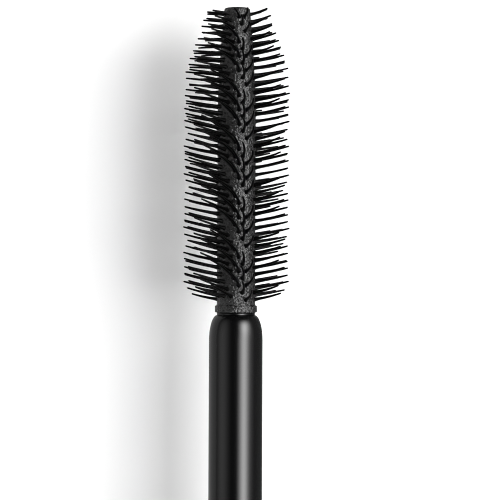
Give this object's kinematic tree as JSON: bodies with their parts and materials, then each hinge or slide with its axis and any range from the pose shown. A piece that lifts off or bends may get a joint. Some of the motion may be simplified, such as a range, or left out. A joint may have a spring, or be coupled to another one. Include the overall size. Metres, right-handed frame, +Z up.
{
  "type": "mascara",
  "caption": "Mascara lying opened: screw bottle with wiper, and its wand drawn out, with a moulded brush of raked tapering bristles on a glossy stem.",
  "frame": {"origin": "on the resting surface, at the middle of the opened object's length", "axes": "+X along the common axis of wand and bottle, from the cap towards the bottle's foot; +Z up"},
  "size_m": [0.211, 0.017, 0.0171],
  "materials": {
    "gloss_black": "high gloss, clear of texture",
    "stem_black": "gloss with a faint moulding haze",
    "brush_grain": "fine spark-eroded grain",
    "bristle_black": "smooth satin elastomer",
    "liner_plastic": "satin polypropylene",
    "vial_plastic": "smooth moulded",
    "wiper_plastic": "soft natural polyethylene",
    "foam": "closed-cell foam",
    "satin_metal": "satin anodised",
    "weight_steel": "turned"
  },
  "bodies": {
    "bottle": {"vial": "vial_plastic", "outer_sleeve": "gloss_black", "base_plug": "liner_plastic", "shoulder_ring": "satin_metal", "wiper": "wiper_plastic"},
    "neck_seal": {"seal_washer": "foam"},
    "wand": {"cap_shell": "gloss_black", "cap_weight": "weight_steel", "cap_liner": "liner_plastic", "stem": "stem_black", "brush_core": "brush_grain", "brush_bristles": "bristle_black"}
  },
  "joints": [
    {"name": "wand_draw", "type": "slide", "parent": "bottle", "child": "neck_seal", "axis": [1, 0, 0], "range_m": [0, 0.0909], "deforming": ["brush_bristles"]},
    {"name": "cap_turn", "type": "hinge", "parent": "neck_seal", "child": "wand", "pos_m": [-0.05955, 0, 0.00853], "axis": [1, 0, 0], "range_deg": [0, 540]}
  ]
}
